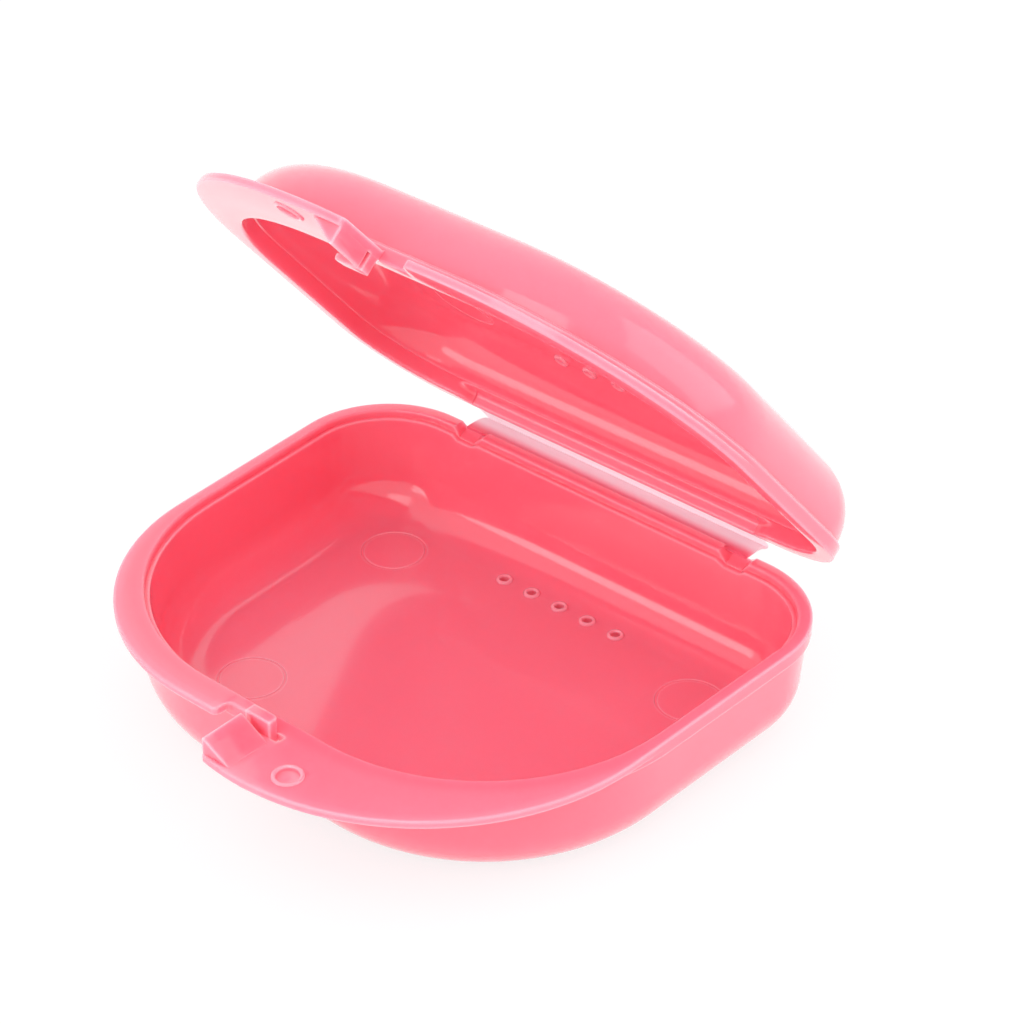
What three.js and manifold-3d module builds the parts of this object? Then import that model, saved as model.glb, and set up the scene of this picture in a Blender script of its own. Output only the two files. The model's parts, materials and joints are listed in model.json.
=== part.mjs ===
// A retainer case: a deep tray and a domed lid, moulded in one piece with a folding strip hinge,
// and closed by two interlocking latch fingers at the front. The lid stands part open.
// Millimetres. +X is to the right, +Y is towards the hinge, +Z is up.
// The origin is the middle of the tray's underside.
import * as THREE from "three";
import { mergeVertices } from "three/addons/utils/BufferGeometryUtils.js";
import Module from "manifold-3d";

const wasm = await Module();
wasm.setup();

// Mouth of the tray at the rim, seen from above: a D whose sides lean in towards the front
const cavityRear = 32.1;
const cavityFront = 31.7;
const cavityRearHalfWidth = 40.6;
const cavityFrontHalfWidth = 38.6;
const cavityRearRadius = 12.15;
const cavityFrontRadius = 29.1;

// Tray, with a rebate round the inner edge of its rim
const rimHeight = 16.5;
const trayWall = 2;
const trayFloor = 1.3;
const trayLean = 0.85;
const trayOuterBend = 8.2;
const trayInnerBend = 6.5;
const rebateWidth = 0.65;
const rebateDepth = 1.1;

// Rim band that stands out round the tray, with the narrow and the wide front flange
const bandSide = 1.9;
const bandRear = 2;
const bandFront = 2;
const trayBandHeight = 2.2;
const flangeThickness = 1.2;
const narrowFlangeReach = 2.4;
const narrowFlangeRadius = 30;
const wideTabReach = 10.1;
const wideTabRadius = 35;

// Lid
const closingGap = 0.1;
const lidHeight = 10.8;
const lidWall = 2.1;
const lidRoof = 1.3;
const lidLean = 0.75;
const lidOuterBend = 8.5;
const lidInnerBend = 7;
const lidCavityStep = 0.6;
const lidBandHeight = 2;

// Folding strip between the rear edges; its fold line is the axis that the lid turns on
const stripHalfWidth = 24.8;
const stripLeafLength = 2.9;
const stripThickness = 0.45;
const stripFoldThickness = 0.25;
const stripFoldLength = 0.9;
const stripFoldGap = 0.06;
const hingeWall = 0.5;
const restOpening = THREE.MathUtils.degToRad(49.1);

// Slanted notches in the tray's rear edge, one at each end of the strip
const notchInnerTop = 21;
const notchOuterTop = 26.1;
const notchInnerBottom = 22.4;
const notchOuterBottom = 25.1;
const notchDepth = 1.5;

// Latch: each half has a finger that goes into the gap between the other half's flange end and
// the middle of the case, and the lid's finger has a bead that snaps below the tray's flange
const tabStart = 0.3;
const flangeEnd = 4.7;
const flangeEndRadius = 0.8;
const flangeRootRadius = 0.9;
const latchClearance = 0.25;
const catchGap = 0.15;
const beadHeight = 0.85;
const beadBite = 0.15;
const fingerThickness = 1.7;
const reliefLength = 1.3;
const reliefInset = 0.35;

// Thumb ramp on each tab, and a shallow dimple with a raised ring round it
const rampLength = 6.7;
const rampRun = 4.5;
const rampCrest = 0.35;
const gripRingX = 11.2;
const gripRingInset = 4.4;
const gripRingOuter = 2.1;
const gripRingInner = 1.5;
const gripRingHeight = 0.25;
const dimpleDepth = 0.45;

// Vent holes with a collar each, in a row at the hinge side of the floor and of the roof
const ventCount = 5;
const ventPitch = 5;
const trayVentInset = 7.6;
const lidVentInset = 6.9;
const ventHole = 0.65;
const ventCollar = 1.2;
const ventCollarHeight = 0.35;
const ventCollarSeat = 0.1;

// Round marks engraved in the floor and in the roof
const markRadius = 4.7;
const markWidth = 0.4;
const markDepth = 0.2;
const rearMarkX = 26.6;
const rearMarkY = 19.7;
const frontMarkX = 20.6;
const frontMarkY = 14.8;
const lidMarkX = 24.1;
const lidMarkY = 18.7;

// Gap between two pieces of the same moulding, and how far a cutter runs past what it cuts
const seam = 0.05;
const overrun = 1;

// How finely round stretches are divided
const rearCornerSteps = 9;
const frontCornerSteps = 14;
const bendSteps = 7;
const circleSteps = 28;
const collarSteps = 16;

// Looks of the moulding
const plasticColour = new THREE.Color(0.95, 0.3, 0.38);
const stripColour = new THREE.Color(0.97, 0.55, 0.62);
const plasticRoughness = 0.3;

// Sizes that follow from the ones above
const lidPlane = rimHeight + closingGap;
const ledge = cavityFront + bandFront;
const hingeY = cavityRear + bandRear + stripLeafLength;
const fingerHeight = flangeThickness + catchGap + closingGap + beadHeight;
const rampRear = ledge + narrowFlangeReach + latchClearance;

const xAxis = new THREE.Vector3(1, 0, 0);
const yAxis = new THREE.Vector3(0, 1, 0);
const zAxis = new THREE.Vector3(0, 0, 1);

const cavity = {
  rear: cavityRear,
  front: cavityFront,
  rearHalfWidth: cavityRearHalfWidth,
  frontHalfWidth: cavityFrontHalfWidth,
  rearRadius: cavityRearRadius,
  frontRadius: cavityFrontRadius,
};

// How much narrower an outline's half width gets for each millimetre towards the front.
function sideSlope(outline) {
  return (outline.rearHalfWidth - outline.frontHalfWidth) / (outline.rear + outline.front);
}

// An outline whose edges are moved outwards by the given amounts.
function grow(outline, side, rear = side, front = side) {
  const slope = sideSlope(outline);
  return {
    rear: outline.rear + rear,
    front: outline.front + front,
    rearHalfWidth: outline.rearHalfWidth + side + slope * rear,
    frontHalfWidth: outline.frontHalfWidth + side - slope * front,
    rearRadius: outline.rearRadius + (side + rear) / 2,
    frontRadius: outline.frontRadius + (side + front) / 2,
  };
}

// An outline whose front edge is carried further forward, with front corners of another radius.
// Its sides and rear lie a seam inside the first outline's, so that the two cross in one place.
function reachForward(outline, reach, frontRadius) {
  const carried = grow(outline, -seam, -seam, reach);
  return { ...carried, frontRadius };
}

// The points of an outline, counter-clockwise from above, with round corners.
function outlinePoints(outline) {
  const corners = [
    new THREE.Vector2(outline.rearHalfWidth, outline.rear),
    new THREE.Vector2(-outline.rearHalfWidth, outline.rear),
    new THREE.Vector2(-outline.frontHalfWidth, -outline.front),
    new THREE.Vector2(outline.frontHalfWidth, -outline.front),
  ];
  const points = [];
  corners.forEach((corner, index) => {
    const isRear = index < 2;
    const radius = isRear ? outline.rearRadius : outline.frontRadius;
    const steps = isRear ? rearCornerSteps : frontCornerSteps;
    const before = corners[(index + 3) % 4].clone().sub(corner).normalize();
    const after = corners[(index + 1) % 4].clone().sub(corner).normalize();
    const halfAngle = before.angleTo(after) / 2;
    const middle = before.clone().add(after).normalize();
    const centre = corner.clone().addScaledVector(middle, radius / Math.sin(halfAngle));
    const start = corner.clone().addScaledVector(before, radius / Math.tan(halfAngle));
    const firstAngle = start.clone().sub(centre).angle();
    const sweep = Math.PI - 2 * halfAngle;
    for (let step = 0; step <= steps; step++) {
      const angle = firstAngle + (sweep * step) / steps;
      points.push(
        new THREE.Vector2(centre.x + radius * Math.cos(angle), centre.y + radius * Math.sin(angle)),
      );
    }
  });
  return points;
}

// A closed geometry as a solid that can be joined and cut.
function solidOf(geometry) {
  const bare = geometry.clone();
  bare.deleteAttribute("normal");
  bare.deleteAttribute("uv");
  const merged = mergeVertices(bare);
  return new wasm.Manifold(
    new wasm.Mesh({
      numProp: 3,
      vertProperties: new Float32Array(merged.attributes.position.array),
      triVerts: new Uint32Array(merged.index.array),
    }),
  );
}

// A solid as a geometry that a mesh can show.
function geometryOf(solid) {
  const mesh = solid.getMesh();
  const geometry = new THREE.BufferGeometry();
  geometry.setAttribute("position", new THREE.BufferAttribute(mesh.vertProperties, mesh.numProp));
  geometry.setIndex(new THREE.BufferAttribute(mesh.triVerts, 1));
  geometry.computeVertexNormals();
  return geometry;
}

// A flat plate with the given outline, between two heights.
function plate(points, bottom, top) {
  const shape = new THREE.Shape(points);
  const geometry = new THREE.ExtrudeGeometry(shape, { depth: top - bottom, bevelEnabled: false });
  geometry.translate(0, 0, bottom);
  return solidOf(geometry);
}

// A prism: an outline in the plane of two axes, carried along the third from the given point.
function prism(points, length, across, up, from) {
  const shape = new THREE.Shape(points);
  const geometry = new THREE.ExtrudeGeometry(shape, { depth: length, bevelEnabled: false });
  const along = new THREE.Vector3().crossVectors(across, up);
  geometry.applyMatrix4(new THREE.Matrix4().makeBasis(across, up, along));
  geometry.translate(from.x, from.y, from.z);
  return solidOf(geometry);
}

// A block between two corners, each pair of values given in any order.
function block(x0, x1, y0, y1, z0, z1) {
  const geometry = new THREE.BoxGeometry(Math.abs(x1 - x0), Math.abs(y1 - y0), Math.abs(z1 - z0));
  geometry.translate((x0 + x1) / 2, (y0 + y1) / 2, (z0 + z1) / 2);
  return solidOf(geometry);
}

// The same points on the other side of the case where side is -1.
function onSide(points, side) {
  return points.map((point) => new THREE.Vector2(side * point.x, point.y));
}

// A ring or disc turned about an axis that leans by tilt about X; the section is closed.
function turned(section, steps, place, tilt) {
  const points = section.map(([radius, height]) => new THREE.Vector2(radius, height));
  points.push(points[0].clone());
  const geometry = new THREE.LatheGeometry(points, steps);
  geometry.rotateX(Math.PI / 2 + tilt);
  geometry.translate(place.x, place.y, place.z);
  return solidOf(geometry);
}

// The section of a tube between two radii and two heights; an inner radius of 0 makes a pin.
function tubeSection(inner, outer, low, high) {
  return [
    [inner, low],
    [outer, low],
    [outer, high],
    [inner, high],
  ];
}

// The section of a ring that stands on a face, with a round crest; up is 1 or -1.
function crestSection(inner, outer, height, up) {
  const shoulder = height / 2;
  const section = [
    [inner, 0],
    [outer, 0],
    [outer, up * shoulder],
    [(inner + outer) / 2, up * height],
    [inner, up * shoulder],
  ];
  return up > 0 ? section : section.reverse();
}

// A closed skin through rings of points, with a flat cap on the first ring and on the last.
function skin(rings) {
  const count = rings[0].length;
  const positions = [];
  const triangles = [];
  rings.forEach((ring) => ring.forEach((point) => positions.push(point.x, point.y, point.z)));
  const lastRing = (rings.length - 1) * count;
  const firstCentre = rings.length * count;
  [rings[0], rings[rings.length - 1]].forEach((ring) => {
    const centre = ring.reduce((sum, point) => sum.add(point), new THREE.Vector3());
    centre.divideScalar(count);
    positions.push(centre.x, centre.y, centre.z);
  });
  for (let place = 0; place < count; place++) {
    const next = (place + 1) % count;
    for (let ring = 0; ring < lastRing; ring += count) {
      triangles.push(ring + place, ring + next, ring + count + next);
      triangles.push(ring + place, ring + count + next, ring + count + place);
    }
    triangles.push(firstCentre, next, place);
    triangles.push(firstCentre + 1, lastRing + place, lastRing + next);
  }
  const geometry = new THREE.BufferGeometry();
  geometry.setAttribute("position", new THREE.Float32BufferAttribute(positions, 3));
  geometry.setIndex(triangles);
  return solidOf(geometry);
}

// The section of a bowl, from the edge of its flat bottom up to its rim. Each place says how
// far the outline has grown from the cavity's outline, and how high above the bottom it lies.
function bowlSection(bowl) {
  const wallAt = (height) => bowl.rimGrowth - bowl.lean * (1 - height / bowl.depth);
  const centreGrowth = wallAt(bowl.bend) - bowl.bend;
  const places = [];
  for (let step = 0; step <= bendSteps; step++) {
    const angle = ((Math.PI / 2) * step) / bendSteps;
    places.push({
      growth: centreGrowth + bowl.bend * Math.sin(angle),
      height: bowl.bend - bowl.bend * Math.cos(angle),
    });
  }
  places.push({ growth: bowl.rimGrowth, height: bowl.depth });
  return places;
}

// The rings of a bowl from its bottom to its rim; up is 1 for the tray and -1 for the lid.
function bowlRings(bowl, bottom, up) {
  return bowlSection(bowl).map(({ growth, height }) =>
    outlinePoints(grow(cavity, growth)).map(
      (point) => new THREE.Vector3(point.x, point.y, bottom + up * height),
    ),
  );
}

// Where a row beside the hinge lies on a bowl: the rise above the flat, and the lean there.
function seatOnBowl(bowl, row) {
  const flatEdge = cavityRear + bowlSection(bowl)[0].growth;
  const past = Math.max(0, row - flatEdge);
  return {
    rise: bowl.bend - Math.sqrt(bowl.bend * bowl.bend - past * past),
    lean: Math.asin(past / bowl.bend),
  };
}

// The four hollow forms that the two shells are made from.
const trayOuter = {
  rimGrowth: trayWall - rebateWidth,
  lean: trayLean,
  bend: trayOuterBend,
  depth: rimHeight - trayBandHeight - seam,
};
const trayInner = {
  rimGrowth: -rebateWidth,
  lean: trayLean,
  bend: trayInnerBend,
  depth: trayOuter.depth - trayFloor,
};
const lidOuter = {
  rimGrowth: lidWall - lidCavityStep,
  lean: lidLean,
  bend: lidOuterBend,
  depth: lidHeight - lidBandHeight - seam,
};
const lidInner = {
  rimGrowth: -lidCavityStep,
  lean: lidLean,
  bend: lidInnerBend,
  depth: lidOuter.depth - lidRoof,
};

// The outlines of the rim band, the two front flanges and what the rims leave open.
const bandOutline = grow(cavity, bandSide, bandRear, bandFront);
const narrowOutline = reachForward(bandOutline, narrowFlangeReach, narrowFlangeRadius);
const wideOutline = reachForward(bandOutline, wideTabReach, wideTabRadius);
const trayThroat = grow(cavity, -rebateWidth);
const lidMouth = grow(cavity, -lidCavityStep);
const farSide = cavityRearHalfWidth + bandSide + overrun;
const farFront = ledge + wideTabReach + overrun;

// The vents of a bowl: each has its place across, and all share the row, the rise and the lean.
function vents(bowl, rowInset, bottom, up) {
  const row = cavityRear - rowInset;
  const seat = seatOnBowl(bowl, row);
  return Array.from({ length: ventCount }, (_, index) => ({
    place: new THREE.Vector3(
      (index - (ventCount - 1) / 2) * ventPitch,
      row,
      bottom + up * seat.rise,
    ),
    tilt: up * seat.lean,
    up,
  }));
}

const trayVents = vents(trayInner, trayVentInset, trayFloor, 1);
const lidVents = vents(lidInner, lidVentInset, lidPlane + lidHeight - lidRoof, -1);

function ventCutter(vent) {
  const reach = trayFloor + overrun;
  return turned(tubeSection(0, ventHole, -reach, reach), collarSteps, vent.place, vent.tilt);
}

function ventCollarSolid(vent) {
  const section = crestSection(ventHole, ventCollar, ventCollarHeight, vent.up);
  const seat = new THREE.Vector3(0, 0, vent.up * ventCollarSeat);
  seat.applyAxisAngle(new THREE.Vector3(1, 0, 0), vent.tilt);
  return turned(section, collarSteps, vent.place.clone().add(seat), vent.tilt);
}

// Cutters for the four round marks, sunk into the tray's floor.
function markCutters() {
  const section = tubeSection(markRadius - markWidth, markRadius, -markDepth, overrun);
  const marks = [];
  [-1, 1].forEach((side) => {
    marks.push(new THREE.Vector3(side * rearMarkX, rearMarkY, trayFloor));
    marks.push(new THREE.Vector3(side * frontMarkX, -frontMarkY, trayFloor));
  });
  return marks.map((place) => turned(section, circleSteps, place, 0));
}

// Cutters for the two round marks beside the lid's vents, sunk into the inside of its roof.
function lidMarkCutters() {
  const section = tubeSection(markRadius - markWidth, markRadius, -overrun, markDepth);
  const face = lidPlane + lidHeight - lidRoof;
  const places = [-1, 1].map((side) => new THREE.Vector3(side * lidMarkX, lidMarkY, face));
  return places.map((place) => turned(section, circleSteps, place, 0));
}

function cutAll(solid, cutters) {
  return cutters.reduce((left, cutter) => left.subtract(cutter), solid);
}

function trayShell() {
  const outside = bowlRings(trayOuter, 0, 1);
  const inside = bowlRings(trayInner, trayFloor, 1).reverse();
  const shell = skin([...outside, ...inside]);
  return cutAll(shell, [...trayVents.map(ventCutter), ...markCutters()]);
}

function lidShell() {
  const top = lidPlane + lidHeight;
  const inside = bowlRings(lidInner, top - lidRoof, -1);
  const outside = bowlRings(lidOuter, top, -1).reverse();
  const shell = skin([...inside, ...outside]);
  return cutAll(shell, [...lidVents.map(ventCutter), ...lidMarkCutters()]);
}

// The plan of a narrow flange on the +X side, from its end beside the latch outwards: a round
// corner at the front, and a hollow corner where it meets the ledge.
function narrowFlangePlan() {
  const front = -(ledge + narrowFlangeReach);
  const shape = new THREE.Shape();
  shape.moveTo(farSide, 0);
  shape.lineTo(flangeEnd + flangeRootRadius, 0);
  shape.lineTo(flangeEnd - flangeRootRadius, -ledge + seam);
  shape.lineTo(flangeEnd - flangeRootRadius, -ledge);
  shape.absarc(
    flangeEnd - flangeRootRadius,
    -ledge - flangeRootRadius,
    flangeRootRadius,
    Math.PI / 2,
    0,
    true,
  );
  shape.lineTo(flangeEnd, front + flangeEndRadius);
  shape.absarc(
    flangeEnd + flangeEndRadius,
    front + flangeEndRadius,
    flangeEndRadius,
    Math.PI,
    Math.PI * 1.5,
    false,
  );
  shape.lineTo(farSide, front);
  return shape.getPoints(bendSteps);
}

// A flat piece on the rim plane; away is -1 where it lies below the plane and 1 above.
function slab(points, plane, thickness, away) {
  const far = plane + away * thickness;
  return plate(points, Math.min(plane, far), Math.max(plane, far));
}

// One half of the case: the side that its wide tab is on, its rim plane and its direction.
const trayHalf = { side: 1, plane: rimHeight, away: -1, band: trayBandHeight, mouth: trayThroat };
const lidHalf = { side: -1, plane: lidPlane, away: 1, band: lidBandHeight, mouth: lidMouth };

// The rim band of a half, with the narrow flange on the side away from its wide tab.
function rim(half) {
  const { side, plane, away, band, mouth } = half;
  const ring = slab(outlinePoints(bandOutline), plane, band, away);
  const flange = slab(outlinePoints(narrowOutline), plane, flangeThickness, away);
  const plan = onSide(narrowFlangePlan(), -side);
  const kept = flange.intersect(slab(plan, plane, flangeThickness, away));
  const start = plane - away * overrun;
  const opening = slab(outlinePoints(mouth), start, band + 2 * overrun, away);
  return ring.add(kept).subtract(opening);
}

// The slanted notches in the tray's rear edge, one on each side.
function notchCutter(side) {
  const bottom = rimHeight - notchDepth;
  const rise = (notchInnerBottom - notchInnerTop) * (overrun / notchDepth);
  const spread = (notchOuterTop - notchOuterBottom) * (overrun / notchDepth);
  const points = [
    new THREE.Vector2(notchInnerBottom, bottom),
    new THREE.Vector2(notchOuterBottom, bottom),
    new THREE.Vector2(notchOuterTop + spread, rimHeight + overrun),
    new THREE.Vector2(notchInnerTop - rise, rimHeight + overrun),
  ];
  const from = new THREE.Vector3(0, cavityRear + bandRear + overrun, 0);
  return prism(onSide(points, side), bandRear + 2 * overrun, xAxis, zAxis, from);
}

function trayRim() {
  const rebate = slab(outlinePoints(cavity), rimHeight + overrun, rebateDepth + overrun, -1);
  return cutAll(rim(trayHalf), [rebate, notchCutter(1), notchCutter(-1)]);
}

// The lid's rim is hollow on the inside along the hinge, where a thin wall holds the strip.
function lidRim() {
  const low = lidPlane - overrun;
  const high = lidPlane + lidBandHeight + overrun;
  const rear = cavityRear + bandRear - hingeWall;
  const front = cavityRear - lidCavityStep - overrun;
  return rim(lidHalf).subtract(block(-stripHalfWidth, stripHalfWidth, front, rear, low, high));
}

// What is cut from a wide tab's front edge, so that it stays round up to the tab's inner end.
function roundOff(half) {
  const outline = outlinePoints(wideOutline);
  const turn = outline[outline.length - frontCornerSteps - 1];
  const sweep = Math.asin(turn.x / wideTabRadius);
  const shape = new THREE.Shape();
  shape.moveTo(turn.x, turn.y - overrun);
  shape.lineTo(turn.x, turn.y);
  const first = -Math.PI / 2;
  shape.absarc(turn.x, turn.y + wideTabRadius, wideTabRadius, first, first - sweep, true);
  shape.lineTo(0, turn.y - overrun);
  const start = half.plane - half.away * overrun;
  const depth = flangeThickness + 2 * overrun;
  return slab(onSide(shape.getPoints(bendSteps), half.side), start, depth, half.away);
}

// The place of the dimple and its ring on the face of a half's wide tab.
function gripPlace(half) {
  const row = -(ledge + wideTabReach - gripRingInset);
  return new THREE.Vector3(half.side * gripRingX, row, half.plane);
}

// The wide thumb tab of a half: a crescent in front of the rim band, with a dimple in its face.
function thumbTab(half) {
  const { side, plane, away } = half;
  const whole = slab(outlinePoints(wideOutline), plane, flangeThickness, away);
  const low = plane - flangeThickness - overrun;
  const high = plane + flangeThickness + overrun;
  const kept = block(side * tabStart, side * farSide, -farFront, cavityRear, low, high);
  const start = plane - away * overrun;
  const depth = flangeThickness + 2 * overrun;
  const behind = slab(outlinePoints(grow(bandOutline, seam)), start, depth, away);
  const foot = Math.min(away * dimpleDepth, -away * overrun);
  const section = tubeSection(0, gripRingInner, foot, foot + dimpleDepth + overrun);
  const dimple = turned(section, circleSteps, gripPlace(half), 0);
  return cutAll(whole.intersect(kept), [behind, roundOff(half), dimple]);
}

// The relief hole in the tray's tab, beside the end of the latch finger.
function trayTab() {
  const end = flangeEnd - latchClearance;
  const rear = -(ledge + latchClearance + reliefInset);
  const front = -(ledge + latchClearance + fingerThickness);
  const low = rimHeight - flangeThickness - overrun;
  const relief = block(end, end + reliefLength, front, rear, low, rimHeight + overrun);
  return thumbTab(trayHalf).subtract(relief);
}

// The latch finger of a half, standing on the face of its wide tab, with one round corner.
function latchFinger(half) {
  const { side, plane, away } = half;
  const end = flangeEnd - latchClearance;
  const rear = -(ledge + latchClearance);
  const front = rear - fingerThickness;
  const corner = flangeRootRadius - latchClearance;
  const shape = new THREE.Shape();
  shape.moveTo(tabStart, front);
  shape.lineTo(end, front);
  shape.lineTo(end, rear - corner);
  shape.absarc(end - corner, rear - corner, corner, 0, Math.PI / 2, false);
  shape.lineTo(tabStart, rear);
  const foot = plane - away * seam;
  return slab(onSide(shape.getPoints(bendSteps), side), foot, fingerHeight, -away);
}

// The lid's finger carries the snap bead: it slopes at the tip and is flat on top.
function lidFinger() {
  const end = flangeEnd - latchClearance;
  const tip = lidPlane - fingerHeight - seam;
  const reach = latchClearance + beadBite;
  const rear = -(ledge + flangeRootRadius);
  const front = -(ledge + latchClearance + fingerThickness);
  const points = [
    new THREE.Vector2(end - latchClearance, tip),
    new THREE.Vector2(end + reach / 2, tip),
    new THREE.Vector2(end + reach, tip + beadHeight / 2),
    new THREE.Vector2(end + reach, tip + beadHeight),
    new THREE.Vector2(end - latchClearance, tip + beadHeight),
  ];
  const from = new THREE.Vector3(0, rear, 0);
  const bead = prism(onSide(points, -1), rear - front, xAxis, zAxis, from);
  return latchFinger(lidHalf).add(bead);
}

// The thumb ramp of a half: a wedge that falls away from the middle of the case.
function thumbRamp(half) {
  const { side, plane, away } = half;
  const foot = plane - away * seam;
  const crest = foot - away * fingerHeight;
  const points = [
    new THREE.Vector2(tabStart, foot),
    new THREE.Vector2(tabStart + rampRun, foot),
    new THREE.Vector2(tabStart + rampCrest, crest),
    new THREE.Vector2(tabStart, crest),
  ];
  const from = new THREE.Vector3(0, -rampRear, 0);
  return prism(onSide(points, side), rampLength, xAxis, zAxis, from);
}

// The raised ring round the dimple in a half's wide tab.
function gripRing(half) {
  const section = crestSection(gripRingInner, gripRingOuter, gripRingHeight, -half.away);
  const place = gripPlace(half).add(new THREE.Vector3(0, 0, -half.away * seam));
  return turned(section, circleSteps, place, 0);
}

// The half of the folding strip that belongs to the tray, thinned towards the fold line.
function trayLeaf() {
  const rear = cavityRear + bandRear + seam;
  const fold = hingeY - stripFoldGap;
  const points = [
    new THREE.Vector2(rear, rimHeight - stripThickness),
    new THREE.Vector2(fold - stripFoldLength, rimHeight - stripThickness),
    new THREE.Vector2(fold, rimHeight - stripFoldThickness),
    new THREE.Vector2(fold, rimHeight),
    new THREE.Vector2(rear, rimHeight),
  ];
  const from = new THREE.Vector3(-stripHalfWidth, 0, 0);
  return prism(points, 2 * stripHalfWidth, yAxis, zAxis, from);
}

// The lid's half of the strip starts at the thin wall of the lid's rim.
function lidLeaf() {
  const rear = cavityRear + bandRear + seam;
  const fold = hingeY - stripFoldGap;
  const points = [
    new THREE.Vector2(rear, lidPlane),
    new THREE.Vector2(fold, lidPlane),
    new THREE.Vector2(fold, lidPlane + stripFoldThickness),
    new THREE.Vector2(fold - stripFoldLength, lidPlane + stripThickness),
    new THREE.Vector2(rear, lidPlane + stripThickness),
  ];
  const from = new THREE.Vector3(-stripHalfWidth, 0, 0);
  return prism(points, 2 * stripHalfWidth, yAxis, zAxis, from);
}

// A named mesh of one solid, in the plastic of the case or in the thin strip's paler look.
function piece(name, solid, colour = plasticColour) {
  const material = new THREE.MeshStandardMaterial({ color: colour, roughness: plasticRoughness });
  material.metalness = 0;
  const mesh = new THREE.Mesh(geometryOf(solid), material);
  mesh.name = name;
  return mesh;
}

const tray = new THREE.Group();
tray.add(piece("base_tray", trayShell()));
tray.add(piece("base_rim", trayRim()));
tray.add(piece("base_thumb_tab", trayTab()));
tray.add(piece("base_latch_finger", latchFinger(trayHalf)));
tray.add(piece("base_thumb_ramp", thumbRamp(trayHalf)));
tray.add(piece("base_grip_ring", gripRing(trayHalf)));
tray.add(piece("base_hinge_leaf", trayLeaf(), stripColour));
trayVents.forEach((vent, index) => {
  tray.add(piece(`base_vent_collar_${index + 1}`, ventCollarSolid(vent)));
});

// The lid is drawn closed, and then turned open about the fold line.
const closedLid = new THREE.Group();
closedLid.position.set(0, -hingeY, -rimHeight);
closedLid.add(piece("lid_dome", lidShell()));
closedLid.add(piece("lid_rim", lidRim()));
closedLid.add(piece("lid_thumb_tab", thumbTab(lidHalf)));
closedLid.add(piece("lid_latch_finger", lidFinger()));
closedLid.add(piece("lid_thumb_ramp", thumbRamp(lidHalf)));
closedLid.add(piece("lid_grip_ring", gripRing(lidHalf)));
closedLid.add(piece("lid_hinge_leaf", lidLeaf(), stripColour));
lidVents.forEach((vent, index) => {
  closedLid.add(piece(`lid_vent_collar_${index + 1}`, ventCollarSolid(vent)));
});
const lid = new THREE.Group();
lid.position.set(0, hingeY, rimHeight);
lid.rotation.x = -restOpening;
lid.add(closedLid);

const retainerCase = new THREE.Group();
retainerCase.add(tray, lid);

export default retainerCase;
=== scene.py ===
"""The looks of a retainer case: a pink tray and a domed lid on a folding strip, part open.

Every size is in millimetres in the classes below and becomes metres when a mesh is made. The frame
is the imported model: +X to the right, +Y towards the hinge, +Z up.
"""
import json
import logging
import math
from dataclasses import dataclass, replace
from enum import Enum

import bmesh
import bpy
import numpy as np
from mathutils import Matrix, Vector


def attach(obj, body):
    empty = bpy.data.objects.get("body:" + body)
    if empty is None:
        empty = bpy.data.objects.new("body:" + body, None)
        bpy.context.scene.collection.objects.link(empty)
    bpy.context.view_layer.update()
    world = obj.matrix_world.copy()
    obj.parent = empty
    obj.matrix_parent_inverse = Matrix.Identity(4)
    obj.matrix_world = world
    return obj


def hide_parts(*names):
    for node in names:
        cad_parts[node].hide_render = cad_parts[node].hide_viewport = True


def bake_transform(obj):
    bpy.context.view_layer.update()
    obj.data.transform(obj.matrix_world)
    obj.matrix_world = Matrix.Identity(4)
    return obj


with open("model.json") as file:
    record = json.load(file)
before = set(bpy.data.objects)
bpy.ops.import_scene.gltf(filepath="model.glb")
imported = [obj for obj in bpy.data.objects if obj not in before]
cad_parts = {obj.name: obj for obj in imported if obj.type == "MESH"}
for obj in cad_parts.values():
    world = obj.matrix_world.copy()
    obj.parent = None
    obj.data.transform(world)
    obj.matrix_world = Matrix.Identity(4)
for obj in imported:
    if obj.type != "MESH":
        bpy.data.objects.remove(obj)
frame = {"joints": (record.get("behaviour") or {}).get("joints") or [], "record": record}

MILLIMETRE = 0.001
LOG = logging.getLogger("retainer_case")
FULL_RANGE = (0.0, 1.0)
WHITE = (1.0, 1.0, 1.0, 1.0)

Colour = tuple[float, float, float]
Pair = tuple[float, float]
Faces = list[tuple[int, ...]]
Object = bpy.types.Object
Tree = bpy.types.NodeTree
Output = bpy.types.NodeSocket


class Half(Enum):
    """The two halves of the case; the value is the side that the wide thumb tab is on."""

    TRAY = 1
    LID = -1


class Change(Enum):
    """What one solid does to another."""

    JOIN = "UNION"
    CUT = "DIFFERENCE"


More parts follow.
